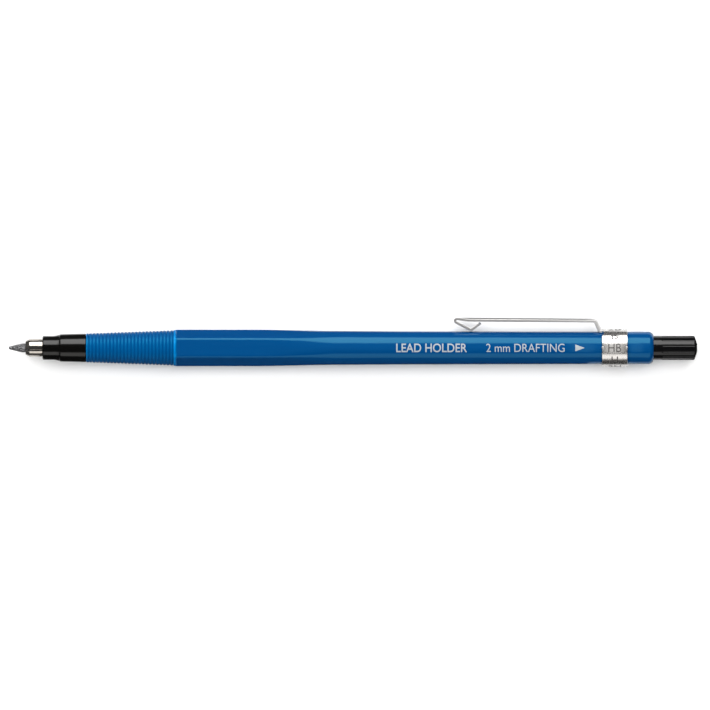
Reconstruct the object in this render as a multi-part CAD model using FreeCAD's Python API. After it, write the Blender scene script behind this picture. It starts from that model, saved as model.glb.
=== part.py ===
import FreeCAD, Part
import math
import os

from FreeCAD import Vector

# Clutch lead holder for 2 mm leads, in millimetres.
# X runs along the holder's axis: the lead points to -X and the push button is at +X.
# The clip stands on the +Y side, and +Z is up.
# The origin is on the axis, at the middle of the pilot land on the nose collar.

# ---- driving dimensions ----

# Lead
LEAD_R = 1.0
LEAD_LENGTH = 130.0
LEAD_TIP_X = -8.9
LEAD_POINT_LENGTH = 2.8
LEAD_TIP_R = 0.33

# Clutch: three jaws pulled back into the collar's cone
JAW_COUNT = 3
JAW_FACE_X = -5.15
JAW_FACE_R = 1.57
JAW_CHAMFER_LENGTH = 0.85
JAW_HEAD_R = 2.0
JAW_CONE_X = -1.85
JAW_STEM_X = 1.65
JAW_STEM_R = 1.6
JAW_GRIP_R = 1.03
JAW_GRIP_END_X = 1.0
JAW_TOOTH_PITCH = 0.7
JAW_TOOTH_DEPTH = 0.1
JAW_ROOT_X = 8.15
JAW_SLIT = 0.3
JAW_SLIT_ANGLE = 108.0
CONE_CLEARANCE = 0.04

# Plunger: collet body, lead tube, spring collar and cap socket
COLLET_GAP = 0.1
COLLET_NECK_END_X = 10.95
COLLET_END_X = 15.65
COLLET_R = 1.95
STEM_BORE_R = 1.12
TUBE_START_X = 12.35
TUBE_END_X = 136.15
TUBE_R = 1.6
TUBE_BORE_R = 1.15
SEAT_GAP = 0.02
SPRING_COLLAR_LENGTH = 2.5
SLIDE_R = 2.42
SOCKET_START_X = 128.05
SOCKET_FLANGE_LENGTH = 1.95
SOCKET_END_X = 137.75
SOCKET_R = 2.0

# Nose collar and nose sleeve
MOUTH_X = -1.35
MOUTH_EDGE_R = 0.3
PILOT_R = 2.68
PILOT_END_X = 1.0
FLARE_END_X = 2.37
FLARE_R = 2.93
COLLAR_SEAM_X = 2.42
COLLAR_SEAT_END_X = 0.45
COLLAR_RELIEF_R = 1.85
COLLAR_SPIGOT_R = 2.44
COLLAR_SPIGOT_END_X = 6.6
SLEEVE_START_X = 2.47
SLEEVE_FRONT_R = 3.07
SLEEVE_REAR_R = 3.2
SLEEVE_END_X = 8.43
SLEEVE_CHAMFER = 0.1
SLEEVE_LEAD_IN = 0.3
SLEEVE_SOCKET_R = 2.46
SHANK_R = 2.62
SHANK_BORE_R = 2.1
SHANK_END_X = 17.15

# Barrel
BARREL_START_X = 8.48
BARREL_END_X = 135.9
GRIP_FRONT_R = 3.26
GRIP_REAR_R = 3.98
GRIP_RIM_X = 9.05
GRIP_RIM_CHAMFER = 0.14
RIB_COUNT = 24
RIB_PITCH = 0.79
RIB_HEIGHT = 0.2
REAR_RIM_R = 4.02
REAR_RIM_END_X = 28.5
REAR_RIM_CONE = 0.4
HEX_START_X = 28.4
HEX_END_X = 46.4
HEX_APOTHEM = 3.68
HEX_CORNER_R = 1.0
ROUND_START_X = 65.5
ROUND_R = 3.82
FADE_SECTIONS = 9
WAIST_X = 79.1
WAIST_R = 3.74
REAR_X = 112.7
REAR_R = 3.66
GROOVE_R = 3.6
GROOVE_PLAY = 0.1
END_ROUND_X = 134.7
END_ROUND_R = 2.85
THREAD_BORE_R = 2.65
THREAD_END_X = 17.2
BARREL_BORE_R = 2.5
REAR_MOUTH_X = 126.2
REAR_MOUTH_R = 2.8

# Return spring and the parts that it works against
SPRING_SEAT_LENGTH = 0.8
SPRING_SEAT_BORE_R = 1.75
SPRING_SEAT_R = 2.45
SPRING_LENGTH = 26.0
SPRING_WIRE_R = 0.2
SPRING_MEAN_R = 2.03
SPRING_TURNS = 16
BUSH_START_X = 119.0
BUSH_END_X = 124.0
BUSH_R = 2.48
BUSH_BORE_R = 1.66

# Push button with the lead pointer inside it
BUTTON_START_X = 130.3
BUTTON_R = 2.7
BUTTON_SOCKET_R = 2.05
BUTTON_SOCKET_END_X = 137.9
BUTTON_CHAMBER_R = 1.97
BUTTON_CHAMBER_END_X = 143.9
BUTTON_EDGE_X = 145.1
BUTTON_EDGE_R = 2.62
BUTTON_END_X = 145.7
BUTTON_END_R = 1.1
FLUTE_COUNT = 12
FLUTE_START_X = 138.05
FLUTE_CUTTER_R = 0.3
FLUTE_CENTRE_R = 2.72
FLUTE_ANGLE = 80.0
POINTER_START_X = 138.0
POINTER_END_X = 143.8
POINTER_R = 1.95
POINTER_HOLE_R = 1.06
POINTER_LAND = 0.8
POINTER_TIP_X = 142.3
POINTER_TIP_R = 0.12
BLADE_THICKNESS = 0.25
BLADE_WIDTH = 1.3
BLADE_START_X = 138.6
BLADE_LENGTH = 4.0
BLADE_GAP = 0.02

# Clip band and clip arm, one steel sheet on the real holder
BAND_START_X = 124.3
BAND_END_X = 130.0
BAND_R = 4.25
BAND_BORE_R = 3.66
BAND_EDGE_FILLET = 0.08
NOTCH_R = 0.9
NOTCH_DEPTH = 0.45
NOTCH_ANGLE = 38.0
PIP_R = 0.35
PIP_PROUD = 0.15
PIP_GAP = 0.1
PIP_ANGLE = 90.0
CLIP_GAP = 0.03
CLIP_THICKNESS = 0.59
CLIP_ARCH = 0.32
CLIP_ROOT_HALF_WIDTH = 1.8
CLIP_TIP_HALF_WIDTH = 1.6
CLIP_FOOT = (124.17, BAND_R)
CLIP_FOOT_R = 0.15
CLIP_SHOULDER = (123.15, 6.56)
CLIP_SHOULDER_R = 1.25
CLIP_FOLD = (88.82, 6.82)
CLIP_FOLD_R = 0.7
CLIP_TOUCH = (94.97, 3.63)
CLIP_TOUCH_R = 0.8
CLIP_END = (97.25, 5.37)
CLIP_END_CORNER_R = 0.6
FLATTEN_START_X = 94.6
FLATTEN_END_X = 91.9
FLATTEN_SECTIONS = 6

X_AXIS = Vector(1, 0, 0)
Z_AXIS = Vector(0, 0, 1)
ORIGIN = Vector(0, 0, 0)


# ---- shared shapes ----

def line(start, end):
    return Part.LineSegment(start, end).toShape()


def turned(profile):
    """A solid of revolution about X. A profile entry is (x, r), or (x, r, mid_x, mid_r) to
    reach (x, r) by the arc through (mid_x, mid_r)."""
    points = [Vector(p[0], p[1], 0) for p in profile]
    edges = []
    for i, entry in enumerate(profile):
        start = points[i - 1]
        end = points[i]
        if len(entry) == 4:
            edges.append(Part.Arc(start, Vector(entry[2], entry[3], 0), end).toShape())
        elif (end - start).Length > 1e-9:
            edges.append(line(start, end))
    face = Part.Face(Part.Wire(edges))
    return face.revolve(ORIGIN, X_AXIS, 360)


def tube(start_x, end_x, outer_r, inner_r):
    return turned([(start_x, inner_r), (end_x, inner_r), (end_x, outer_r), (start_x, outer_r)])


def rod(start_x, end_x, radius):
    return Part.makeCylinder(radius, end_x - start_x, Vector(start_x, 0, 0), X_AXIS)


def about_axis(shape, angle):
    """A copy of a shape turned about X, from +Y towards +Z."""
    copy = shape.copy()
    copy.rotate(ORIGIN, X_AXIS, angle)
    return copy


def rounded_arc(start_x, start_r, end_x, end_r):
    """The profile entry of an arc that leaves a cylinder smoothly and falls to (end_x, end_r)."""
    run = end_x - start_x
    drop = start_r - end_r
    radius = (run ** 2 + drop ** 2) / (2 * drop)
    half = math.asin(run / radius) / 2
    mid_x = start_x + radius * math.sin(half)
    mid_r = start_r - radius * (1 - math.cos(half))
    return (end_x, end_r, mid_x, mid_r)


# ---- lead and clutch ----

def make_lead():
    point_end = LEAD_TIP_X + LEAD_POINT_LENGTH
    tip_edge = 0.1
    end = LEAD_TIP_X + LEAD_LENGTH
    return turned([
        (LEAD_TIP_X, 0),
        (LEAD_TIP_X, LEAD_TIP_R - tip_edge),
        (LEAD_TIP_X + tip_edge, LEAD_TIP_R),
        (point_end, LEAD_R),
        (end, LEAD_R),
        (end, 0),
    ])


def jaw_cone_r(x):
    """Radius of the jaws' closing cone."""
    slope = (JAW_HEAD_R - JAW_STEM_R) / (JAW_STEM_X - JAW_CONE_X)
    return JAW_HEAD_R - slope * (x - JAW_CONE_X)


def make_jaws():
    """The jaws as separate solids, in the order of their angle about the axis."""
    teeth = []
    tooth_x = JAW_FACE_X + JAW_TOOTH_PITCH
    while tooth_x + JAW_TOOTH_PITCH < JAW_GRIP_END_X:
        teeth.append((tooth_x, JAW_GRIP_R))
        teeth.append((tooth_x + JAW_TOOTH_DEPTH, JAW_GRIP_R + JAW_TOOTH_DEPTH))
        teeth.append((tooth_x + 2 * JAW_TOOTH_DEPTH, JAW_GRIP_R))
        tooth_x += JAW_TOOTH_PITCH
    inside = [(JAW_FACE_X, JAW_GRIP_R)] + teeth + [
        (JAW_GRIP_END_X, JAW_GRIP_R),
        (JAW_GRIP_END_X, STEM_BORE_R),
        (JAW_ROOT_X, STEM_BORE_R),
    ]
    outside = [
        (JAW_ROOT_X, JAW_STEM_R),
        (JAW_STEM_X, JAW_STEM_R),
        (JAW_CONE_X, JAW_HEAD_R),
        (JAW_FACE_X + JAW_CHAMFER_LENGTH, JAW_HEAD_R),
        (JAW_FACE_X, JAW_FACE_R),
    ]
    ring = turned(inside + outside)
    slit = Part.makeBox(
        JAW_ROOT_X - JAW_FACE_X + 2, 2 * JAW_HEAD_R, JAW_SLIT,
        Vector(JAW_FACE_X - 1, 0, -JAW_SLIT / 2),
    )
    for i in range(JAW_COUNT):
        ring = ring.cut(about_axis(slit, JAW_SLIT_ANGLE + i * 360 / JAW_COUNT))

    def angle(solid):
        centre = solid.CenterOfMass
        return math.degrees(math.atan2(centre.z, centre.y)) % 360

    return sorted(ring.Solids, key=angle)


def make_collet_body():
    start = JAW_ROOT_X + COLLET_GAP
    return turned([
        (start, STEM_BORE_R),
        (TUBE_START_X, STEM_BORE_R),
        (TUBE_START_X, TUBE_R + SEAT_GAP),
        (COLLET_END_X, TUBE_R + SEAT_GAP),
        (COLLET_END_X, COLLET_R),
        (COLLET_NECK_END_X, COLLET_R),
        (COLLET_NECK_END_X, JAW_STEM_R),
        (start, JAW_STEM_R),
    ])


def make_lead_tube():
    return tube(TUBE_START_X + SEAT_GAP, TUBE_END_X, TUBE_R, TUBE_BORE_R)


def make_cap_socket():
    flange_end = SOCKET_START_X + SOCKET_FLANGE_LENGTH
    chamfer = 0.2
    return turned([
        (SOCKET_START_X, TUBE_R + SEAT_GAP),
        (SOCKET_END_X, TUBE_R + SEAT_GAP),
        (SOCKET_END_X, SOCKET_R - chamfer),
        (SOCKET_END_X - chamfer, SOCKET_R),
        (flange_end, SOCKET_R),
        (flange_end, SLIDE_R),
        (SOCKET_START_X, SLIDE_R),
    ])


# ---- nose ----

def make_nose_collar():
    edge_mid = MOUTH_EDGE_R * (1 - math.sqrt(0.5))
    lip = 0.1
    flare_mid_x = (PILOT_END_X + FLARE_END_X) / 2
    flare_mid_r = PILOT_R + (FLARE_R - PILOT_R) * 0.3
    mouth_r = jaw_cone_r(MOUTH_X) + CONE_CLEARANCE
    return turned([
        (MOUTH_X, mouth_r + lip),
        (MOUTH_X, PILOT_R - MOUTH_EDGE_R),
        (MOUTH_X + MOUTH_EDGE_R, PILOT_R, MOUTH_X + edge_mid, PILOT_R - edge_mid),
        (PILOT_END_X, PILOT_R),
        (FLARE_END_X, FLARE_R, flare_mid_x, flare_mid_r),
        (COLLAR_SEAM_X, FLARE_R - lip),
        (COLLAR_SEAM_X, COLLAR_SPIGOT_R),
        (COLLAR_SPIGOT_END_X, COLLAR_SPIGOT_R),
        (COLLAR_SPIGOT_END_X, COLLAR_RELIEF_R),
        (COLLAR_SEAT_END_X + lip, COLLAR_RELIEF_R),
        (COLLAR_SEAT_END_X, jaw_cone_r(COLLAR_SEAT_END_X) + CONE_CLEARANCE),
        (MOUTH_X + lip, jaw_cone_r(MOUTH_X + lip) + CONE_CLEARANCE),
    ])


def make_nose_sleeve():
    socket_end = COLLAR_SPIGOT_END_X + SEAT_GAP
    return turned([
        (SLEEVE_START_X, SLEEVE_SOCKET_R),
        (SLEEVE_START_X, SLEEVE_FRONT_R - SLEEVE_CHAMFER),
        (SLEEVE_START_X + SLEEVE_LEAD_IN, SLEEVE_FRONT_R),
        (SLEEVE_END_X - SLEEVE_CHAMFER, SLEEVE_REAR_R),
        (SLEEVE_END_X, SLEEVE_REAR_R - SLEEVE_CHAMFER),
        (SLEEVE_END_X, SHANK_R),
        (SHANK_END_X, SHANK_R),
        (SHANK_END_X, SHANK_BORE_R),
        (socket_end, SHANK_BORE_R),
        (socket_end, SLEEVE_SOCKET_R),
    ])


# ---- barrel ----

def grip_r(x):
    """Radius of the cone that the rib crests touch."""
    share = (x - BARREL_START_X) / (REAR_RIM_END_X - BARREL_START_X)
    return GRIP_FRONT_R + (GRIP_REAR_R - GRIP_FRONT_R) * share


def make_grip():
    """The ribbed cone, from the barrel's front face to the rim where the flats begin."""
    valley_r = grip_r(GRIP_RIM_X) - RIB_HEIGHT
    profile = [
        (BARREL_START_X, 0),
        (BARREL_START_X, GRIP_FRONT_R - GRIP_RIM_CHAMFER),
        (BARREL_START_X + GRIP_RIM_CHAMFER, GRIP_FRONT_R),
        (GRIP_RIM_X - GRIP_RIM_CHAMFER, grip_r(GRIP_RIM_X)),
        (GRIP_RIM_X, valley_r),
    ]
    for i in range(RIB_COUNT):
        end_x = GRIP_RIM_X + (i + 1) * RIB_PITCH
        crest_x = end_x - RIB_PITCH / 2
        profile.append((end_x, grip_r(end_x) - RIB_HEIGHT, crest_x, grip_r(crest_x)))
    ribs_end = GRIP_RIM_X + RIB_COUNT * RIB_PITCH
    profile += [
        (ribs_end + RIB_HEIGHT / 2, REAR_RIM_R),
        (REAR_RIM_END_X, REAR_RIM_R),
        (REAR_RIM_END_X + REAR_RIM_CONE, HEX_APOTHEM - RIB_HEIGHT),
        (REAR_RIM_END_X + REAR_RIM_CONE, 0),
    ]
    return turned(profile)


def body_section(x, share):
    """The barrel's outline at x: a hexagon with flats towards +Z and -Z at share 0, a circle at 1.

    Each side is an arc whose curvature grows with share, and each corner an arc tangent to it."""
    cos30 = math.cos(math.radians(30))
    nearly = min(share, 0.999)
    corner_r = 1 / ((1 - nearly) / HEX_CORNER_R + nearly / ROUND_R)
    apothem = HEX_APOTHEM + (ROUND_R - HEX_APOTHEM) * nearly
    if share == 0:
        reach = (apothem - corner_r) / cos30
        touch = (apothem, reach / 2)
    else:
        side_r = ROUND_R / nearly
        back = apothem - side_r
        half_b = back * cos30
        reach = half_b + math.sqrt(half_b ** 2 - back ** 2 + (side_r - corner_r) ** 2)
        along = reach * cos30 - back
        across = reach / 2
        stretch = side_r / math.hypot(along, across)
        touch = (back + along * stretch, across * stretch)
    touch_angle = math.degrees(math.atan2(touch[1], touch[0]))
    if share == 1:
        side, corner, touch_r = (ROUND_R, ROUND_R, ROUND_R)
    else:
        side, corner, touch_r = (apothem, reach + corner_r, math.hypot(*touch))

    def at(radius, degrees):
        angle = math.radians(degrees)
        return Vector(x, radius * math.cos(angle), radius * math.sin(angle))

    edges = []
    for i in range(6):
        middle = i * 60
        before = at(touch_r, middle - 30 + touch_angle)
        after = at(touch_r, middle + 30 - touch_angle)
        following = at(touch_r, middle + 30 + touch_angle)
        edges.append(Part.Arc(before, at(corner, middle), after).toShape())
        if share == 0:
            edges.append(line(after, following))
        else:
            edges.append(Part.Arc(after, at(side, middle + 30), following).toShape())
    return Part.Wire(edges)


def make_hexagon():
    length = HEX_END_X - HEX_START_X
    return Part.Face(body_section(HEX_START_X, 0)).extrude(Vector(length, 0, 0))


def make_fade():
    """The stretch where the hexagon fades into the round."""
    wires = []
    for i in range(FADE_SECTIONS):
        part = i / (FADE_SECTIONS - 1)
        share = part * part * (3 - 2 * part)
        wires.append(body_section(HEX_END_X + (ROUND_START_X - HEX_END_X) * part, share))
    return Part.makeLoft(wires, True, False)


def make_round():
    groove_start = BAND_START_X - GROOVE_PLAY
    groove_end = BAND_END_X + GROOVE_PLAY
    return turned([
        (ROUND_START_X, 0),
        (ROUND_START_X, ROUND_R),
        (WAIST_X, WAIST_R),
        (REAR_X, REAR_R),
        (groove_start, REAR_R),
        (groove_start, GROOVE_R),
        (groove_end, GROOVE_R),
        (groove_end, REAR_R),
        (END_ROUND_X, REAR_R),
        rounded_arc(END_ROUND_X, REAR_R, BARREL_END_X, END_ROUND_R),
        (BARREL_END_X, 0),
    ])


def make_barrel():
    bore = turned([
        (BARREL_START_X - 1, 0),
        (BARREL_START_X - 1, THREAD_BORE_R),
        (THREAD_END_X, THREAD_BORE_R),
        (THREAD_END_X, BARREL_BORE_R),
        (REAR_MOUTH_X, BARREL_BORE_R),
        (REAR_MOUTH_X, REAR_MOUTH_R),
        (BARREL_END_X + 1, REAR_MOUTH_R),
        (BARREL_END_X + 1, 0),
    ])
    body = make_grip().fuse([make_hexagon(), make_fade(), make_round()])
    return body.removeSplitter().cut(bore)


# ---- return spring and guides ----

def make_return_spring():
    start = THREAD_END_X + SPRING_SEAT_LENGTH + SPRING_WIRE_R
    height = SPRING_LENGTH - 2 * SPRING_WIRE_R
    helix = Part.makeHelix(height / SPRING_TURNS, height, SPRING_MEAN_R)
    section = Part.Wire(Part.makeCircle(SPRING_WIRE_R, Vector(SPRING_MEAN_R, 0, 0), Vector(0, 1, 0)))
    coil = Part.Wire(helix).makePipeShell([section], True, True)
    coil.rotate(ORIGIN, Vector(0, 1, 0), 90)
    coil.translate(Vector(start, 0, 0))
    return coil


def make_spring_seat():
    end = THREAD_END_X + SPRING_SEAT_LENGTH
    return tube(THREAD_END_X, end - SEAT_GAP, SPRING_SEAT_R, SPRING_SEAT_BORE_R)


def make_spring_collar():
    start = THREAD_END_X + SPRING_SEAT_LENGTH + SPRING_LENGTH + SEAT_GAP
    return tube(start, start + SPRING_COLLAR_LENGTH, SLIDE_R, TUBE_R + SEAT_GAP)


def make_rear_bush():
    return tube(BUSH_START_X, BUSH_END_X, BUSH_R, BUSH_BORE_R)


# ---- push button ----

def make_push_button():
    lip = 0.1
    button = turned([
        (BUTTON_START_X, BUTTON_SOCKET_R),
        (BUTTON_START_X, BUTTON_R - lip),
        (BUTTON_START_X + lip, BUTTON_R),
        (BUTTON_EDGE_X - lip, BUTTON_R),
        (BUTTON_EDGE_X, BUTTON_EDGE_R),
        (BUTTON_END_X - lip, BUTTON_END_R),
        (BUTTON_END_X, BUTTON_END_R - 2 * lip),
        (BUTTON_END_X, 0),
        (BUTTON_CHAMBER_END_X, 0),
        (BUTTON_CHAMBER_END_X, BUTTON_CHAMBER_R),
        (BUTTON_SOCKET_END_X, BUTTON_CHAMBER_R),
        (BUTTON_SOCKET_END_X, BUTTON_SOCKET_R),
    ])
    centre = Vector(FLUTE_START_X, FLUTE_CENTRE_R, 0)
    length = BUTTON_END_X - FLUTE_START_X + 1
    flute = Part.makeCylinder(FLUTE_CUTTER_R, length, centre, X_AXIS)
    flute = flute.fuse(Part.makeSphere(FLUTE_CUTTER_R, centre))
    angles = [FLUTE_ANGLE + i * 360 / FLUTE_COUNT for i in range(FLUTE_COUNT)]
    return button.cut([about_axis(flute, angle) for angle in angles])


def pointer_slope():
    """Half angle of the pointer's cone, in degrees."""
    cone_start = POINTER_START_X + POINTER_LAND
    return math.degrees(math.atan((POINTER_HOLE_R - POINTER_TIP_R) / (POINTER_TIP_X - cone_start)))


def on_pointer_cone(box_length, box_width, box_height, y, lift):
    """A box that lies on the line along the top of the pointer's cone."""
    box = Part.makeBox(box_length, box_width, box_height, Vector(0, y, lift))
    box.rotate(ORIGIN, Vector(0, 1, 0), pointer_slope())
    cone_start = POINTER_START_X + POINTER_LAND
    height = POINTER_HOLE_R - (BLADE_START_X - cone_start) * math.tan(math.radians(pointer_slope()))
    box.translate(Vector(BLADE_START_X, 0, height))
    return box


def make_pointer_core():
    body = rod(POINTER_START_X, POINTER_END_X, POINTER_R)
    hole = turned([
        (POINTER_START_X - 1, 0),
        (POINTER_START_X - 1, POINTER_HOLE_R),
        (POINTER_START_X + POINTER_LAND, POINTER_HOLE_R),
        (POINTER_TIP_X, POINTER_TIP_R),
        (POINTER_TIP_X, 0),
    ])
    window = on_pointer_cone(2 * BLADE_LENGTH, 4 * POINTER_R, 2 * POINTER_R, -2 * POINTER_R, 0)
    return body.cut([hole, window])


def make_pointer_blade():
    return on_pointer_cone(BLADE_LENGTH, BLADE_WIDTH, BLADE_THICKNESS, 0, BLADE_GAP)


# ---- clip ----

def make_index_pips():
    """Small rounded tabs on both edges of the band, where it is read against the barrel's arrow."""
    skin = tube(BAND_START_X - 1, BAND_END_X + 1, BAND_R - BAND_EDGE_FILLET, BAND_BORE_R + PIP_GAP)
    pips = []
    for centre_x in (BAND_START_X + PIP_R - PIP_PROUD, BAND_END_X - PIP_R + PIP_PROUD):
        post = Part.makeCylinder(PIP_R, 2 * BAND_R, Vector(centre_x, 0, 0), Vector(0, 1, 0))
        pips.append(about_axis(post.common(skin), PIP_ANGLE))
    return pips


def make_clip_band():
    fillet = BAND_EDGE_FILLET
    mid = fillet * (1 - math.sqrt(0.5))
    band = turned([
        (BAND_START_X, BAND_BORE_R),
        (BAND_START_X, BAND_R - fillet),
        (BAND_START_X + fillet, BAND_R, BAND_START_X + mid, BAND_R - mid),
        (BAND_END_X - fillet, BAND_R),
        (BAND_END_X, BAND_R - fillet, BAND_END_X - mid, BAND_R - mid),
        (BAND_END_X, BAND_BORE_R),
    ])
    centre_x = BAND_START_X + NOTCH_DEPTH - NOTCH_R
    notch = Part.makeCylinder(NOTCH_R, 2 * BAND_R, Vector(centre_x, 0, 0), Vector(0, 1, 0))
    band = band.cut([about_axis(notch, NOTCH_ANGLE), about_axis(notch, -NOTCH_ANGLE)])
    return band.fuse(make_index_pips())


def clip_path():
    """The sheet's outer face seen along Z, from the band to the free end.

    Returns pieces in order: ("run", start, end) and ("bend", centre, start, end, turn in degrees)."""
    corners = [
        (BAND_START_X - CLIP_GAP, BAND_R), CLIP_FOOT, CLIP_SHOULDER, CLIP_FOLD, CLIP_TOUCH, CLIP_END,
    ]
    radii = [CLIP_FOOT_R, CLIP_SHOULDER_R, CLIP_FOLD_R, CLIP_TOUCH_R]
    points = [Vector(x, y, 0) for x, y in corners]
    pieces = []
    start = points[0]
    for i, radius in enumerate(radii):
        corner = points[i + 1]
        arriving = (corner - points[i]).normalize()
        leaving = (points[i + 2] - corner).normalize()
        turn = math.atan2(arriving.cross(leaving).z, arriving.dot(leaving))
        reach = radius * math.tan(abs(turn) / 2)
        bend_start = corner - arriving * reach
        bend_end = corner + leaving * reach
        inwards = Z_AXIS.cross(arriving) * math.copysign(1, turn)
        centre = bend_start + inwards * radius
        pieces.append(("run", start, bend_start))
        pieces.append(("bend", centre, bend_start, bend_end, math.degrees(turn)))
        start = bend_end
    pieces.append(("run", start, points[-1]))
    return pieces


def clip_section(point, heading, arch, half_width):
    """The sheet's cross-section at a point of its outer face. The outer side is to the right."""
    outwards = heading.cross(Z_AXIS).normalize()

    def at(depth, z):
        return point - outwards * depth + Vector(0, 0, z)

    edges = []
    for depth, side in ((0, 1), (CLIP_THICKNESS, -1)):
        start = at(depth + arch, -side * half_width)
        end = at(depth + arch, side * half_width)
        if arch:
            edges.append(Part.Arc(start, at(depth, 0), end).toShape())
        else:
            edges.append(line(start, end))
    edges.insert(1, line(at(arch, half_width), at(CLIP_THICKNESS + arch, half_width)))
    edges.append(line(at(CLIP_THICKNESS + arch, -half_width), at(arch, -half_width)))
    return Part.Wire(edges)


def clip_piece(piece, arch, half_width):
    """The solid of one run or bend of the clip."""
    if piece[0] == "run":
        start, end = piece[1:]
        section = clip_section(start, end - start, arch, half_width)
        return Part.Face(section).extrude(end - start)
    centre, start, turn = piece[1], piece[2], piece[4]
    heading = (start - centre).cross(Z_AXIS) * -math.copysign(1, turn)
    section = clip_section(start, heading, arch, half_width)
    return Part.Face(section).revolve(centre, Z_AXIS, turn)


def make_clip_arm():
    foot, foot_bend, leg, shoulder, arm, fold, tongue, touch, tail = clip_path()
    arm_start, arm_end = arm[1:]
    heading = arm_end - arm_start

    def on_arm(x):
        return arm_start + heading * ((x - arm_start.x) / heading.x)

    wide = CLIP_ROOT_HALF_WIDTH
    narrow = CLIP_TIP_HALF_WIDTH
    solids = [clip_piece(piece, CLIP_ARCH, wide) for piece in (foot, foot_bend, leg, shoulder)]
    arm_wires = [
        clip_section(arm_start, heading, CLIP_ARCH, wide),
        clip_section(on_arm(FLATTEN_START_X), heading, CLIP_ARCH, narrow),
    ]
    solids.append(Part.makeLoft(arm_wires, True, True))
    flatten_wires = []
    for i in range(FLATTEN_SECTIONS):
        part = i / (FLATTEN_SECTIONS - 1)
        arch = CLIP_ARCH * (1 - part * part * (3 - 2 * part))
        x = FLATTEN_START_X + (FLATTEN_END_X - FLATTEN_START_X) * part
        flatten_wires.append(clip_section(on_arm(x), heading, arch, narrow))
    solids.append(Part.makeLoft(flatten_wires, True, False))
    flat_run = ("run", on_arm(FLATTEN_END_X), arm_end)
    solids += [clip_piece(piece, 0, narrow) for piece in (flat_run, fold, tongue, touch)]
    tail_solid = clip_piece(tail, 0, narrow)
    end_edges = [
        edge for edge in tail_solid.Edges
        if edge.Length < CLIP_THICKNESS * 1.01
        and edge.CenterOfMass.distanceToPoint(tail[2]) < edge.CenterOfMass.distanceToPoint(tail[1])
        and abs(edge.CenterOfMass.z) > narrow * 0.99
    ]
    solids.append(tail_solid.makeFillet(CLIP_END_CORNER_R, end_edges))
    return solids[0].fuse(solids[1:]).removeSplitter()


# ---- write the nodes ----

def main():
    nodes = {
        "lead": make_lead(),
        "collet_body": make_collet_body(),
        "lead_tube": make_lead_tube(),
        "cap_socket": make_cap_socket(),
        "nose_collar": make_nose_collar(),
        "nose_sleeve": make_nose_sleeve(),
        "barrel": make_barrel(),
        "spring_seat": make_spring_seat(),
        "return_spring": make_return_spring(),
        "spring_collar": make_spring_collar(),
        "rear_bush": make_rear_bush(),
        "push_button": make_push_button(),
        "pointer_core": make_pointer_core(),
        "pointer_blade": make_pointer_blade(),
        "clip_band": make_clip_band(),
        "clip_arm": make_clip_arm(),
    }
    for i, jaw in enumerate(make_jaws()):
        nodes[f"jaw_{i + 1}"] = jaw
    os.makedirs("parts", exist_ok=True)
    for name, shape in nodes.items():
        box = shape.BoundBox
        print(
            f"{name:14s} solids {len(shape.Solids)} valid {shape.isValid()} "
            f"volume {shape.Volume:9.3f}  x {box.XMin:8.3f} {box.XMax:8.3f} "
            f"y {box.YMin:7.3f} {box.YMax:7.3f} z {box.ZMin:7.3f} {box.ZMax:7.3f}"
        )
        shape.exportStep(f"parts/{name}.step")


main()
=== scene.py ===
"""Looks of a clutch lead holder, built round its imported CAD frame.

Sizes below are in millimetres in the CAD's frame: X runs along the holder from the lead (-X) to the
push button (+X), the clip is on the +Y side and +Z is up. MM turns them into Blender's metres.
Angles about the holder's axis are in degrees from +Y towards +Z.
"""
import math
import random

import bmesh
import bpy
from mathutils import Matrix, Vector


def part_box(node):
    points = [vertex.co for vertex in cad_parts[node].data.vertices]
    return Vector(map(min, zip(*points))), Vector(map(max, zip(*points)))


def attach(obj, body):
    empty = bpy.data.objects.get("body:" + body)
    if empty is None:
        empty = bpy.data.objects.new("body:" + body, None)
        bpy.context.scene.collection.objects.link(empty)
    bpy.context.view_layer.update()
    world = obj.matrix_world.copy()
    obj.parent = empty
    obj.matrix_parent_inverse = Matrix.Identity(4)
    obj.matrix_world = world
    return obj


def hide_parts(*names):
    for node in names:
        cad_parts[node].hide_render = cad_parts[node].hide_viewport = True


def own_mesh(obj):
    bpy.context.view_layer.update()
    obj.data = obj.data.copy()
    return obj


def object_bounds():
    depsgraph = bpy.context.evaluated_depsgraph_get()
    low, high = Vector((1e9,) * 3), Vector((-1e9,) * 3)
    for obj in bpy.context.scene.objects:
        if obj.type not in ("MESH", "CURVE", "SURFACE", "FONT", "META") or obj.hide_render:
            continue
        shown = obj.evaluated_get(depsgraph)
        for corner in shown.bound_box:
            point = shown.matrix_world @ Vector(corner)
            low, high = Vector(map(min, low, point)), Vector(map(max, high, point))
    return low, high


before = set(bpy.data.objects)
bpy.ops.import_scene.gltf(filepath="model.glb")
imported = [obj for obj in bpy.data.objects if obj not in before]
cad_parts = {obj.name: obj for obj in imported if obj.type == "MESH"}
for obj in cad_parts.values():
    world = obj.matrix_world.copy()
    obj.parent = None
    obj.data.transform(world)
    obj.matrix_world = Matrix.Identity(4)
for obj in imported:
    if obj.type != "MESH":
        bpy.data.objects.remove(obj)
cad_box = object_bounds()

MM = 0.001
SHARP_ANGLE = 40.0


def span(node):
    """Lowest and highest corner of a CAD node, in millimetres."""
    low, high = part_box(node)
    return low / MM, high / MM


# ---------------------------------------------------------------- mesh helpers

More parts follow.
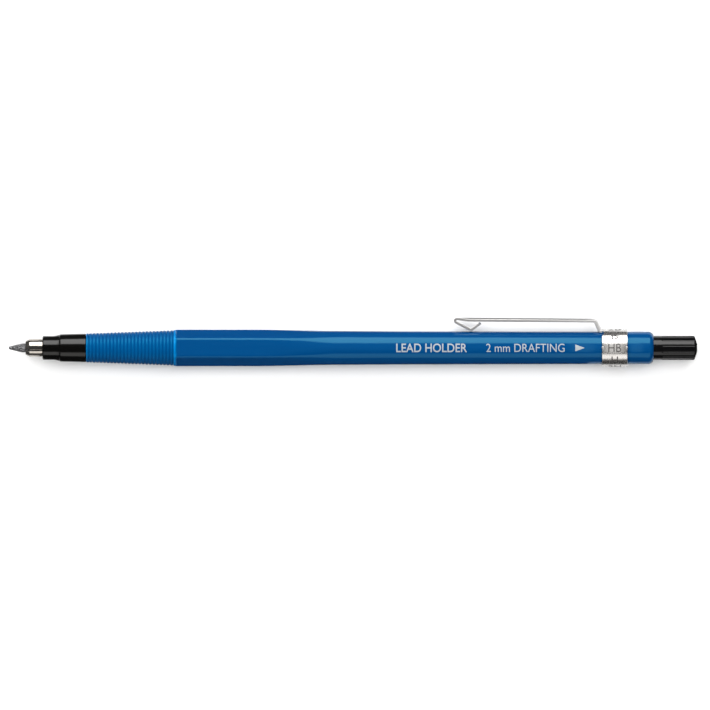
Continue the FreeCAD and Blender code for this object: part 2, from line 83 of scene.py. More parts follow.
def finish_mesh(name, verts, faces, material, body, replaced=()):
    """A smooth-shaded mesh object from points in millimetres that rides on a CAD body."""
    mesh = bpy.data.meshes.new(name)
    mesh.from_pydata([Vector(v) * MM for v in verts], [], faces)
    mesh.update()
    tidy = bmesh.new()
    tidy.from_mesh(mesh)
    bmesh.ops.remove_doubles(tidy, verts=tidy.verts, dist=1e-7)
    bmesh.ops.recalc_face_normals(tidy, faces=tidy.faces)
    tidy.to_mesh(mesh)
    tidy.free()
    mesh.shade_smooth()
    mesh.set_sharp_from_angle(angle=math.radians(SHARP_ANGLE))
    mesh.materials.append(material)
    piece = bpy.data.objects.new(name, mesh)
    bpy.context.scene.collection.objects.link(piece)
    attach(piece, body)
    if replaced:
        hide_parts(*replaced)
    return piece


def around(x, radius, degrees):
    angle = math.radians(degrees)
    return (x, radius * math.cos(angle), radius * math.sin(angle))


def even_angles(count):
    return [360 * i / count for i in range(count)]


def ring_shell(rings, closed):
    """Vertices and faces that join rings of equal length. A ring of one point is a pole."""
    verts = []
    starts = []
    for ring in rings:
        starts.append(len(verts))
        verts.extend(ring)
    faces = []
    count = max(len(ring) for ring in rings)
    pairs = list(zip(range(len(rings) - 1), range(1, len(rings))))
    if closed:
        pairs.append((len(rings) - 1, 0))
    for a, b in pairs:
        for i in range(count):
            j = (i + 1) % count
            if len(rings[a]) == 1:
                faces.append((starts[a], starts[b] + j, starts[b] + i))
            elif len(rings[b]) == 1:
                faces.append((starts[a] + i, starts[a] + j, starts[b]))
            else:
                faces.append((starts[a] + i, starts[a] + j, starts[b] + j, starts[b] + i))
    return verts, faces


def softened(profile, radius, steps=4):
    """A closed profile of (x, r) points with every corner rounded, except those on the axis."""
    points = [Vector(p[:2]) for p in profile]
    result = []
    for i, corner in enumerate(points):
        before = points[i - 1] - corner
        after = points[(i + 1) % len(points)] - corner
        turn = before.angle(-after) if before.length > 0 and after.length > 0 else 0
        if corner.y < 1e-6 or turn < math.radians(8):
            result.append(tuple(corner))
            continue
        limit = 0.45 * min(before.length, after.length)
        reach = min(radius * math.tan(turn / 2), limit)
        start = corner + before.normalized() * reach
        end = corner + after.normalized() * reach
        for k in range(steps + 1):
            t = k / steps
            point = start * (1 - t) ** 2 + corner * 2 * t * (1 - t) + end * t ** 2
            result.append(tuple(point))
    return result


def lathe(name, profile, material, body, replaced=(), segments=128, radius=0.06):
    """A turned piece from a closed profile of (x, r). Two neighbouring points may lie on the axis."""
    outline = softened(profile, radius)
    on_axis = [i for i, p in enumerate(outline) if p[1] < 1e-6]
    if on_axis:
        first = on_axis[0] if len(on_axis) == 1 or on_axis[1] == on_axis[0] + 1 else on_axis[-1]
        outline = outline[first + 1:] + outline[:first + 1]
    angles = even_angles(segments)
    rings = []
    for x, r in outline:
        rings.append([(x, 0, 0)] if r < 1e-6 else [around(x, r, a) for a in angles])
    verts, faces = ring_shell(rings, closed=not on_axis)
    return finish_mesh(name, verts, faces, material, body, replaced)


def arc_between(start, middle, end, steps):
    """Points of the circular arc from start through middle to end, without its first point."""
    ax, ay = start
    bx, by = middle
    cx, cy = end
    d = 2 * (ax * (by - cy) + bx * (cy - ay) + cx * (ay - by))
    a2, b2, c2 = ax ** 2 + ay ** 2, bx ** 2 + by ** 2, cx ** 2 + cy ** 2
    ux = (a2 * (by - cy) + b2 * (cy - ay) + c2 * (ay - by)) / d
    uy = (a2 * (cx - bx) + b2 * (ax - cx) + c2 * (bx - ax)) / d
    radius = math.hypot(ax - ux, ay - uy)
    first = math.atan2(ay - uy, ax - ux)
    last = math.atan2(cy - uy, cx - ux)
    halfway = math.atan2(by - uy, bx - ux)
    sweep = (last - first) % (2 * math.pi)
    if (halfway - first) % (2 * math.pi) > sweep:
        sweep -= 2 * math.pi
    points = []
    for k in range(1, steps + 1):
        angle = first + sweep * k / steps
        points.append((ux + radius * math.cos(angle), uy + radius * math.sin(angle)))
    return points


def smooth_step(t):
    t = min(max(t, 0), 1)
    return t * t * (3 - 2 * t)


# ---------------------------------------------------------------- materials

def new_material(name):
    material = bpy.data.materials.new(name)
    material.use_nodes = True
    tree = material.node_tree
    shader = tree.nodes["Principled BSDF"]
    return material, tree, shader


def node(tree, kind, **settings):
    made = tree.nodes.new(kind)
    for key, value in settings.items():
        if key in made.inputs:
            made.inputs[key].default_value = value
        else:
            setattr(made, key, value)
    return made


def coordinates(tree, scale=(1, 1, 1)):
    """Object coordinates in millimetres, stretched by scale."""
    source = node(tree, "ShaderNodeTexCoord")
    mapping = node(tree, "ShaderNodeMapping")
    mapping.inputs["Scale"].default_value = [s / MM for s in scale]
    tree.links.new(source.outputs["Object"], mapping.inputs["Vector"])
    return mapping.outputs["Vector"]


def noise(tree, vector, scale, detail=3.0, roughness=0.55):
    made = node(tree, "ShaderNodeTexNoise", Scale=scale, Detail=detail, Roughness=roughness)
    tree.links.new(vector, made.inputs["Vector"])
    return made.outputs["Fac"]


def ramp(tree, factor, stops):
    """A colour ramp: stops are (position, colour) or (position, grey)."""
    made = node(tree, "ShaderNodeValToRGB")
    elements = made.color_ramp.elements
    while len(elements) < len(stops):
        elements.new(0.5)
    for element, (position, value) in zip(elements, stops):
        element.position = position
        element.color = (*value, 1) if isinstance(value, tuple) else (value, value, value, 1)
    tree.links.new(factor, made.inputs["Fac"])
    return made.outputs["Color"]


def mix(tree, factor, a, b, blend="MIX"):
    """Mixes two colours, each a socket or a tuple."""
    made = node(tree, "ShaderNodeMix", data_type="RGBA", blend_type=blend)
    for value, socket in ((a, made.inputs[6]), (b, made.inputs[7])):
        if isinstance(value, tuple):
            socket.default_value = (*value, 1)
        else:
            tree.links.new(value, socket)
    if isinstance(factor, float):
        made.inputs[0].default_value = factor
    else:
        tree.links.new(factor, made.inputs[0])
    return made.outputs[2]


def between(tree, value, low, high):
    """Maps a 0 to 1 socket to the range low to high."""
    made = node(tree, "ShaderNodeMapRange")
    made.inputs["To Min"].default_value = low
    made.inputs["To Max"].default_value = high
    tree.links.new(value, made.inputs["Value"])
    return made.outputs["Result"]


def bump(tree, shader, height, distance_mm, strength=1.0):
    made = node(tree, "ShaderNodeBump", Strength=strength, Distance=distance_mm * MM)
    tree.links.new(height, made.inputs["Height"])
    tree.links.new(made.outputs["Normal"], shader.inputs["Normal"])


def add(tree, a, b, operation="ADD"):
    made = node(tree, "ShaderNodeMath", operation=operation)
    for value, socket in ((a, made.inputs[0]), (b, made.inputs[1])):
        if isinstance(value, (int, float)):
            socket.default_value = value
        else:
            tree.links.new(value, socket)
    return made.outputs[0]


def plastic(name, deep, light, roughness, speck=0.5, ior=1.49):
    """Moulded plastic: faint flow clouds in the colour, fine handling scratches in the gloss."""
    material, tree, shader = new_material(name)
    clouds = noise(tree, coordinates(tree, (0.12, 0.5, 0.5)), 1.0)
    colour = mix(tree, clouds, deep, light)
    tree.links.new(colour, shader.inputs["Base Color"])
    scratches = noise(tree, coordinates(tree, (0.25, 6, 6)), 1.0, detail=5.0)
    pores = noise(tree, coordinates(tree), 14.0, detail=2.0)
    gloss = add(tree, add(tree, scratches, 0.6, "MULTIPLY"), add(tree, pores, 0.4, "MULTIPLY"))
    tree.links.new(between(tree, gloss, roughness * 0.75, roughness * 1.25), shader.inputs["Roughness"])
    shader.inputs["IOR"].default_value = ior
    bump(tree, shader, gloss, 0.004 * speck)
    return material


def turned_metal(name, base, tint, roughness, pitch, depth, metallic=1.0):
    """Metal from a lathe: rings round the axis, cloudy tarnish and uneven gloss."""
    material, tree, shader = new_material(name)
    rings = noise(tree, coordinates(tree, (1 / pitch, 0.02, 0.02)), 1.0, detail=4.0)
    clouds = noise(tree, coordinates(tree), 0.9, detail=4.0)
    tree.links.new(mix(tree, clouds, base, tint), shader.inputs["Base Color"])
    gloss = add(tree, add(tree, rings, 0.7, "MULTIPLY"), add(tree, clouds, 0.3, "MULTIPLY"))
    tree.links.new(between(tree, gloss, roughness * 0.7, roughness * 1.4), shader.inputs["Roughness"])
    shader.inputs["Metallic"].default_value = metallic
    bump(tree, shader, rings, depth)
    return material


def blue_plastic(name, deep, light, smooth, dull, tint):
    """The barrel's blue plastic: faint flow clouds, fine handling scratches and a blue-tinted gloss."""
    material, tree, shader = new_material(name)
    clouds = noise(tree, coordinates(tree, (0.1, 0.5, 0.5)), 1.0)
    tree.links.new(mix(tree, clouds, deep, light), shader.inputs["Base Color"])
    scratches = noise(tree, coordinates(tree, (0.2, 5, 5)), 1.0, detail=5.0)
    pores = noise(tree, coordinates(tree), 12.0, detail=2.0)
    gloss = add(tree, add(tree, scratches, 0.6, "MULTIPLY"), add(tree, pores, 0.4, "MULTIPLY"))
    tree.links.new(between(tree, gloss, smooth, dull), shader.inputs["Roughness"])
    shader.inputs["IOR"].default_value = 1.5
    shader.inputs["Specular Tint"].default_value = (*tint, 1)
    bump(tree, shader, gloss, 0.003)
    return material


def graphite_material():
    material, tree, shader = new_material("graphite")
    grain = noise(tree, coordinates(tree, (1, 1.3, 1.3)), 3.2, detail=5.0, roughness=0.66)
    streaks = noise(tree, coordinates(tree, (0.4, 8, 8)), 1.0, detail=3.0)
    both = add(tree, add(tree, grain, 0.65, "MULTIPLY"), add(tree, streaks, 0.35, "MULTIPLY"))
    colour = ramp(tree, both, [(0.42, (0.012, 0.012, 0.013)), (0.5, (0.07, 0.07, 0.073)),
                               (0.58, (0.32, 0.32, 0.33))])
    tree.links.new(colour, shader.inputs["Base Color"])
    tree.links.new(between(tree, both, 0.3, 0.55), shader.inputs["Roughness"])
    shader.inputs["Metallic"].default_value = 0.35
    bump(tree, shader, both, 0.03)
    return material


def ink_material(name, colour, roughness):
    material, tree, shader = new_material(name)
    wear = noise(tree, coordinates(tree), 6.0, detail=4.0)
    worn = tuple(c * 0.82 for c in colour)
    faded = ramp(tree, wear, [(0.45, 0.0), (0.7, 1.0)])
    tree.links.new(mix(tree, faded, colour, worn), shader.inputs["Base Color"])
    tree.links.new(between(tree, wear, roughness * 0.8, roughness * 1.2), shader.inputs["Roughness"])
    bump(tree, shader, wear, 0.003)
    return material


def sheet_steel(name, base, tint, roughness, scale, depth, metallic=1.0):
    """Polished strip steel with fine grain lines."""
    material, tree, shader = new_material(name)
    grain = noise(tree, coordinates(tree, scale), 1.0, detail=5.0)
    clouds = noise(tree, coordinates(tree), 0.7, detail=3.0)
    tree.links.new(mix(tree, clouds, base, tint), shader.inputs["Base Color"])
    tree.links.new(between(tree, grain, roughness * 0.7, roughness * 1.35), shader.inputs["Roughness"])
    shader.inputs["Metallic"].default_value = metallic
    bump(tree, shader, grain, depth)
    return material


BARREL_BLUE = blue_plastic("barrel_plastic", (0.0, 0.041, 0.15), (0.0, 0.047, 0.165), 0.09, 0.2,
                           (0.25, 0.95, 1.0))
# Painted glow: a lighter, brighter blue on the barrel's thin front and rear rims, standing in for light that
# shines through the plastic's edges.
RIM_PAINTED_GLOW_BLUE = blue_plastic("rim_painted_glow_plastic", (0.0, 0.14, 0.4), (0.0, 0.155, 0.43), 0.2, 0.3, (0.1, 0.85, 1.0))
# The grip is the barrel's plastic made rougher; its lighter blue is painted light, standing in for the extra
# light that its curved ribs catch.
GRIP_PAINTED_LIGHTER_BLUE = blue_plastic("grip_plastic_painted_lighter", (0.0, 0.056, 0.19), (0.0, 0.063, 0.205), 0.26, 0.4, (0.05, 0.8, 1.0))
BUTTON_BLACK = plastic("button_plastic", (0.0012, 0.0012, 0.0015), (0.0025, 0.0025, 0.003), 0.17)
NOSE_BLACK = turned_metal("nose_metal", (0.001, 0.001, 0.001), (0.002, 0.0018, 0.0016), 0.15, 0.08, 0.001,
                          metallic=0.0)
BUSH_WHITE = plastic("bush_plastic", (0.5, 0.49, 0.45), (0.56, 0.55, 0.52), 0.45)
BRASS = turned_metal("brass", (0.78, 0.55, 0.24), (0.66, 0.45, 0.2), 0.26, 0.1, 0.003)
JAW_METAL = turned_metal("jaw_metal", (0.8, 0.77, 0.72), (0.55, 0.5, 0.44), 0.2, 0.12, 0.004)
SPRING_STEEL = sheet_steel("spring_steel", (0.52, 0.52, 0.54), (0.4, 0.4, 0.42), 0.3, (2, 2, 2), 0.003)
BLADE_STEEL = sheet_steel("blade_steel", (0.62, 0.63, 0.65), (0.5, 0.51, 0.53), 0.22, (1, 12, 12), 0.002)
BAND_STEEL = sheet_steel("band_steel", (0.88, 0.87, 0.85), (0.8, 0.79, 0.77), 0.25, (9, 0.4, 0.4), 0.0015)
ARM_STEEL = sheet_steel("arm_steel", (0.86, 0.85, 0.84), (0.78, 0.77, 0.76), 0.4, (0.4, 9, 9), 0.0015,
                        metallic=0.93)
GRAPHITE = graphite_material()
PRINT_WHITE = ink_material("print_ink", (0.31, 0.335, 0.355), 0.42)
# The grade marks are a dark grey inlay: painted shade that stands in for the dark look of the band's engraved
# letters.
ENGRAVING_PAINTED_SHADE = ink_material("engraved_marks_painted_shade", (0.05, 0.047, 0.045), 0.5)


# ---------------------------------------------------------------- barrel

BARREL_LOW, BARREL_HIGH = span("barrel")
BARREL_START = BARREL_LOW.x
BARREL_END = BARREL_HIGH.x
GRIP_FRONT_R = 3.26
GRIP_REAR_R = 3.98
GRIP_RIM = 0.57
RIB_COUNT = 24
RIB_PITCH = 0.79
RIB_HEIGHT = 0.2
RIB_STEPS = 8
REAR_RIM_R = 4.02
REAR_RIM_X = BARREL_START + 20.02
REAR_RIM_CONE = 0.4
HEX_END = BARREL_START + 37.92
HEX_APOTHEM = 3.68
HEX_CORNER_R = 1.0
ROUND_START = BARREL_START + 57.02
ROUND_R = 3.82
FADE_STEPS = 36
WAIST = (BARREL_START + 70.62, 3.74)
REAR = (BARREL_START + 104.22, 3.66)
GROOVE_R = 3.6
GROOVE_PLAY = 0.1
END_ROUND = 1.2
END_ROUND_R = 2.85
# Widths of the rim faces that get the painted glow blue.
FRONT_RIM_GLOW = 0.2
REAR_RIM_GLOW = 0.24
BARREL_BORE_R = 2.5
THREAD_R = 2.65
THREAD_DEPTH = 8.8
REAR_MOUTH_R = 2.8
REAR_MOUTH_DEPTH = 9.7
BAND_LOW, BAND_HIGH = span("clip_band")
PIP_PROUD = 0.15


def section_radius(share, degrees):
    """Radius of the barrel at an angle: a hexagon with rounded corners at share 0, a circle at 1."""
    share = min(share, 0.999)
    off_flat = math.radians((degrees % 60) - 30)
    corner_r = 1 / ((1 - share) / HEX_CORNER_R + share / ROUND_R)
    apothem = HEX_APOTHEM + (ROUND_R - HEX_APOTHEM) * share
    cos30 = math.cos(math.radians(30))
    if share < 1e-4:
        reach = (apothem - corner_r) / cos30
        touch = math.atan2(reach / 2, apothem)
        if abs(off_flat) <= touch:
            return apothem / math.cos(off_flat)
    else:
        side_r = ROUND_R / share
        back = apothem - side_r
        half_b = back * cos30
        reach = half_b + math.sqrt(half_b ** 2 - back ** 2 + (side_r - corner_r) ** 2)
        along = reach * cos30 - back
        across = reach / 2
        stretch = side_r / math.hypot(along, across)
        touch = math.atan2(across * stretch, back + along * stretch)
        if abs(off_flat) <= touch:
            return back * math.cos(off_flat) + math.sqrt(side_r ** 2 - (back * math.sin(off_flat)) ** 2)
    off_corner = math.radians(30) - abs(off_flat)
    return reach * math.cos(off_corner) + math.sqrt(corner_r ** 2 - (reach * math.sin(off_corner)) ** 2)


def barrel_angles():
    """Directions round the barrel, close together at the hexagon's corners."""
    offsets = [0, 0.5, 1.0, 1.5, 2.0, 2.5, 3.2, 4.2, 5.6, 7.5, 10, 13, 16, 19, 22, 25, 27.5]
    around_corner = sorted([-o for o in offsets[1:]] + offsets + [30])
    return [corner + o for corner in range(0, 360, 60) for o in around_corner]


def grip_r(x):
    share = (x - BARREL_START) / (REAR_RIM_X - BARREL_START)
    return GRIP_FRONT_R + (GRIP_REAR_R - GRIP_FRONT_R) * share


def round_r(x):
    """Radius of the barrel's round stretch."""
    stations = [(ROUND_START, ROUND_R), WAIST, REAR, (BARREL_END, REAR[1])]
    for (x0, r0), (x1, r1) in zip(stations, stations[1:]):
        if x <= x1:
            return r0 + (r1 - r0) * (x - x0) / (x1 - x0)
    return REAR[1]


def barrel_outline():
    """(x, radius function) from the front bore round the outside to the rear bore."""
    def level(r):
        return lambda degrees: r

    def section(share):
        return lambda degrees: section_radius(share, degrees)

    def rim(r):
        return lambda degrees: max(r, section_radius(0, degrees))

    line = []
    edge = 0.14
    front = [(BARREL_START, THREAD_R), (BARREL_START, GRIP_FRONT_R - edge)]
    front += arc_between(front[-1], (BARREL_START + edge * 0.29, GRIP_FRONT_R - edge * 0.29),
                         (BARREL_START + edge, GRIP_FRONT_R), 4)
    ribs_start = BARREL_START + GRIP_RIM
    front += [(ribs_start - edge, grip_r(ribs_start))]
    front += arc_between(front[-1], (ribs_start - edge * 0.35, grip_r(ribs_start) - RIB_HEIGHT * 0.25),
                         (ribs_start, grip_r(ribs_start) - RIB_HEIGHT), 4)
    line += [(x, level(r)) for x, r in front]
    for i in range(RIB_COUNT):
        start_x = ribs_start + i * RIB_PITCH
        end_x = start_x + RIB_PITCH
        crest_x = start_x + RIB_PITCH / 2
        arc = arc_between((start_x, grip_r(start_x) - RIB_HEIGHT), (crest_x, grip_r(crest_x)),
                          (end_x, grip_r(end_x) - RIB_HEIGHT), RIB_STEPS)
        line += [(x, level(r)) for x, r in arc]
    ribs_end = ribs_start + RIB_COUNT * RIB_PITCH
    line += [(ribs_end + 0.08, level(REAR_RIM_R - 0.03)), (ribs_end + 0.12, level(REAR_RIM_R))]
    line += [(REAR_RIM_X - 0.02, level(REAR_RIM_R)), (REAR_RIM_X + 0.02, rim(REAR_RIM_R - 0.01))]
    rim_steps = 6
    for k in range(1, rim_steps + 1):
        share = k / rim_steps
        line.append((REAR_RIM_X + REAR_RIM_CONE * share,
                     rim(REAR_RIM_R - (REAR_RIM_R - HEX_APOTHEM) * share)))
    line += [(REAR_RIM_X + REAR_RIM_CONE + 0.03, section(0)), (HEX_END, section(0))]
    for k in range(1, FADE_STEPS + 1):
        part = k / FADE_STEPS
        line.append((HEX_END + (ROUND_START - HEX_END) * part, section(smooth_step(part))))
    groove_start = BAND_LOW.x + PIP_PROUD - GROOVE_PLAY
    groove_end = BAND_HIGH.x - PIP_PROUD + GROOVE_PLAY
    rear = [WAIST, REAR, (groove_start - 0.05, REAR[1]), (groove_start, REAR[1] - 0.02),
            (groove_start, GROOVE_R), (groove_end, GROOVE_R), (groove_end, REAR[1] - 0.02),
            (groove_end + 0.05, REAR[1]),
            (BARREL_END - END_ROUND, REAR[1])]
    drop = REAR[1] - END_ROUND_R
    ball = (END_ROUND ** 2 + drop ** 2) / (2 * drop)
    half = math.asin(END_ROUND / ball) / 2
    middle = (BARREL_END - END_ROUND + ball * math.sin(half), REAR[1] - ball * (1 - math.cos(half)))
    rear += arc_between(rear[-1], middle, (BARREL_END, END_ROUND_R), 10)
    rear += [(BARREL_END, REAR_MOUTH_R + 0.01), (BARREL_END - 0.04, REAR_MOUTH_R),
             (BARREL_END - REAR_MOUTH_DEPTH, REAR_MOUTH_R), (BARREL_END - REAR_MOUTH_DEPTH, BARREL_BORE_R),
             (BARREL_START + THREAD_DEPTH, BARREL_BORE_R), (BARREL_START + THREAD_DEPTH, THREAD_R)]
    line += [(x, level(r)) for x, r in rear]
    return line


def make_barrel():
    angles = barrel_angles()
    rings = []
    for x, radius in barrel_outline():
        rings.append([around(x, radius(a), a) for a in angles])
    verts, faces = ring_shell(rings, closed=True)
    barrel = finish_mesh("barrel_moulding", verts, faces, BARREL_BLUE, "barrel", ["barrel"])
    barrel.data.materials.append(GRIP_PAINTED_LIGHTER_BLUE)
    barrel.data.materials.append(RIM_PAINTED_GLOW_BLUE)
    # Material 2 paints the front rim and the rear rim lighter, a painted glow for light shining through them;
    # material 1 is the grip plastic, up to the end of the rear rim's cone.
    for face in barrel.data.polygons:
        x = face.center.x / MM - BARREL_START
        if x < FRONT_RIM_GLOW or REAR_RIM_X - REAR_RIM_GLOW < x + BARREL_START < REAR_RIM_X + 0.12:
            face.material_index = 2
        elif x + BARREL_START < REAR_RIM_X + REAR_RIM_CONE:
            face.material_index = 1
    return barrel


make_barrel()


# ---------------------------------------------------------------- lettering

def lettering(name, text, height, width, x, degrees, radius_at, proud, depth, material, body,
              weight=0.0):
    """Text laid round the holder's axis. x is its left end, degrees its middle, width 0 keeps the font's own.

    height is the capitals' height. The text reads along +X with its top towards smaller angles."""
    curve = bpy.data.curves.new(name, "FONT")
    curve.body = text
    curve.size = 1.0
    curve.extrude = 0.05
    curve.offset = weight
    curve.resolution_u = 6
    curve.fill_mode = "BOTH"
    maker = bpy.data.objects.new(name + "_maker", curve)
    bpy.context.scene.collection.objects.link(maker)
    bpy.context.view_layer.update()
    mesh = bpy.data.meshes.new_from_object(maker)
    bpy.data.objects.remove(maker)
    bpy.data.curves.remove(curve)
    shape = bmesh.new()
    shape.from_mesh(mesh)
    bpy.data.meshes.remove(mesh)
    lows = [min(v.co[i] for v in shape.verts) for i in range(2)]
    highs = [max(v.co[i] for v in shape.verts) for i in range(2)]
    tall = height / (highs[1] - lows[1])
    wide = width / (highs[0] - lows[0]) if width else tall
    for v in shape.verts:
        v.co.x = (v.co.x - lows[0]) * wide
        v.co.y = (v.co.y - (lows[1] + highs[1]) / 2) * tall
        v.co.z = 1.0 if v.co.z > 0 else 0.0
    slices = 12
    for k in range(1, slices):
        level = Vector((0, height * (k / slices - 0.5), 0))
        bmesh.ops.bisect_plane(shape, geom=shape.verts[:] + shape.edges[:] + shape.faces[:],
                               plane_co=level, plane_no=(0, 1, 0), dist=1e-5)
    bmesh.ops.triangulate(shape, faces=[f for f in shape.faces if len(f.verts) > 4])
    index = {v: i for i, v in enumerate(shape.verts)}
    verts = []
    for v in shape.verts:
        along = x + v.co.x
        surface = radius_at(along)
        turn = degrees - math.degrees(v.co.y / surface)
        verts.append(around(along, surface + proud - depth * (1 - v.co.z), turn))
    faces = [tuple(index[v] for v in f.verts) for f in shape.faces]
    shape.free()
    return finish_mesh(name, verts, faces, material, body, ())


CAMERA_SIDE = 90.0
PRINT_PROUD = 0.008
PRINT_DEPTH = 0.03
NAME_X = BARREL_START + 69.62
SIZE_X = BARREL_START + 89.82
ARROW_X = BARREL_START + 109.82
ARROW_LENGTH = 2.1
ARROW_HALF_WIDTH = 0.78

lettering("print_name", "LEAD HOLDER", 2.0, 15.9, NAME_X, CAMERA_SIDE, round_r, PRINT_PROUD, PRINT_DEPTH,
          PRINT_WHITE, "barrel", 0.012)
lettering("print_size", "2 mm DRAFTING", 1.9, 17.6, SIZE_X, CAMERA_SIDE, round_r, PRINT_PROUD, PRINT_DEPTH,
          PRINT_WHITE, "barrel", 0.0)


def make_arrow():
    """The printed arrow that the band's grade marks are turned to."""
    start, end, half = ARROW_X, ARROW_X + ARROW_LENGTH, ARROW_HALF_WIDTH
    steps = 12
    verts = []
    faces = []
    for level in (PRINT_PROUD, PRINT_PROUD - PRINT_DEPTH):
        for k in range(steps + 1):
            y = half * (2 * k / steps - 1)
            tip = end - (end - start) * abs(y) / half
            for x in (start, max(tip, start + 0.02)):
                surface = round_r(x)
                verts.append(around(x, surface + level, CAMERA_SIDE - math.degrees(y / surface)))
    top = 0
    bottom = 2 * (steps + 1)
    for k in range(steps):
        a, b = 2 * k, 2 * k + 2
        faces.append((top + a, top + b, top + b + 1, top + a + 1))
        faces.append((bottom + a, bottom + a + 1, bottom + b + 1, bottom + b))
        faces.append((top + a, bottom + a, bottom + b, top + b))
        faces.append((top + a + 1, top + b + 1, bottom + b + 1, bottom + a + 1))
    last = 2 * steps
    faces.append((top, top + 1, bottom + 1, bottom))
    faces.append((top + last, bottom + last, bottom + last + 1, top + last + 1))
    return finish_mesh("print_arrow", verts, faces, PRINT_WHITE, "barrel", ())


make_arrow()


# ---------------------------------------------------------------- nose, clutch and lead

COLLAR_LOW, COLLAR_HIGH = span("nose_collar")
SLEEVE_LOW, SLEEVE_HIGH = span("nose_sleeve")
PILOT_R = 2.68
MOUTH_EDGE = 0.3
FLARE_R = COLLAR_HIGH.y


def make_nose_collar():
    start = COLLAR_LOW.x
    outline = [(start, 2.08), (start, PILOT_R - MOUTH_EDGE)]
    outline += arc_between(outline[-1], (start + MOUTH_EDGE * 0.29, PILOT_R - MOUTH_EDGE * 0.29),
                           (start + MOUTH_EDGE, PILOT_R), 6)
    outline += [(start + 2.35, PILOT_R)]
    outline += arc_between(outline[-1], (start + 3.04, PILOT_R + (FLARE_R - PILOT_R) * 0.3),
                           (start + 3.72, FLARE_R), 8)
    seam = start + 3.77
    outline += [(seam, FLARE_R - 0.06), (seam, 2.44), (COLLAR_HIGH.x, 2.44), (COLLAR_HIGH.x, 1.85),
                (start + 1.9, 1.85), (start + 1.8, 1.777), (start + 0.1, 1.975)]
    lathe("nose_collar_turning", outline, NOSE_BLACK, "barrel", ["nose_collar"], radius=0.03)


def make_nose_sleeve():
    start = SLEEVE_LOW.x
    end = BARREL_START - 0.05
    outline = [(start, 2.46), (start, 2.97), (start + 0.3, 3.07), (end - 0.1, 3.2), (end, 3.12), (end, 2.62)]
    thread_pitch = 0.6
    x = end + 0.5
    while x + thread_pitch < SLEEVE_HIGH.x - 0.4:
        outline += [(x, 2.62), (x + 0.2, 2.48), (x + 0.3, 2.48), (x + 0.5, 2.62)]
        x += thread_pitch
    outline += [(SLEEVE_HIGH.x, 2.62), (SLEEVE_HIGH.x, 2.1), (start + 4.12, 2.1), (start + 4.12, 2.46)]
    lathe("nose_sleeve_turning", outline, NOSE_BLACK, "barrel", ["nose_sleeve"], radius=0.05)


make_nose_collar()
make_nose_sleeve()


JAW_SLIT = 0.34
JAW_BEVEL = 0.09
JAW_CENTRES = {"jaw_1": 48.0, "jaw_2": 168.0, "jaw_3": 288.0}
JAW_OUTSIDE = [(0.0, 1.47), (0.03, 1.53), (0.09, 1.58), (0.78, 1.93), (0.86, 1.975), (0.97, 2.0), (1.6, 2.0),
               (2.4, 2.0), (3.2, 2.0), (3.3, 2.0), (3.5, 1.977), (4.2, 1.897), (5.0, 1.806), (5.9, 1.703),
               (6.7, 1.612), (6.9, 1.6), (8.5, 1.6), (10.5, 1.6), (13.3, 1.6)]
JAW_BORE = 1.03
JAW_STEM_BORE = 1.12
TOOTH_PITCH = 0.7
TOOTH_DEPTH = 0.09
TEETH_END = 6.15


def jaw_radii():
    """(distance from the jaw's face, bore radius, outer radius), with the gripping teeth in the bore."""
    stations = {d for d, r in JAW_OUTSIDE}
    tooth = 0.3
    while tooth + TOOTH_PITCH < TEETH_END:
        stations |= {tooth, tooth + 0.3, tooth + 0.4}
        tooth += TOOTH_PITCH
    radii = []
    for d in sorted(stations):
        for (d0, r0), (d1, r1) in zip(JAW_OUTSIDE, JAW_OUTSIDE[1:]):
            if d0 <= d <= d1:
                outer = r0 + (r1 - r0) * (d - d0) / (d1 - d0)
                break
        bore = JAW_STEM_BORE
        if d < TEETH_END:
            phase = (d - 0.3) % TOOTH_PITCH if d > 0.29 else TOOTH_PITCH
            bore = JAW_BORE + (TOOTH_DEPTH if 0.25 < phase < 0.45 else 0)
        radii.append((d, bore, outer))
    return radii


def make_jaw(name, centre):
    """One third of the collet, with rounded edges along its two slits."""
    low, high = span(name)
    rings = []
    for d, bore, outer in jaw_radii():
        x = low.x + d
        half = JAW_SLIT / 2
        outer_stop = 60 - math.degrees(math.asin((half + JAW_BEVEL) / outer))
        bore_stop = 60 - math.degrees(math.asin(half / bore))
        side = []
        for k in range(1, 4):
            turn = math.pi / 2 * k / 4
            away = half + JAW_BEVEL * (1 - math.sin(turn))
            radius = outer - JAW_BEVEL * (1 - math.cos(turn))
            side.append((radius, 60 - math.degrees(math.asin(away / radius))))
        side.append((outer - JAW_BEVEL, 60 - math.degrees(math.asin(half / (outer - JAW_BEVEL)))))
        ring = [(outer, outer_stop * (k / 6 - 1)) for k in range(13)] + side
        ring += [(bore, bore_stop * (1 - k / 4)) for k in range(9)]
        ring += [(r, -a) for r, a in reversed(side)]
        rings.append([around(x, r, centre + a) for r, a in ring])
    verts, faces = ring_shell(rings, closed=False)
    count = len(rings[0])
    faces.append(tuple(range(count)))
    faces.append(tuple(reversed(range(len(verts) - count, len(verts)))))
    finish_mesh(name + "_turning", verts, faces, JAW_METAL, name, [name])


for jaw, centre in JAW_CENTRES.items():
    make_jaw(jaw, centre)


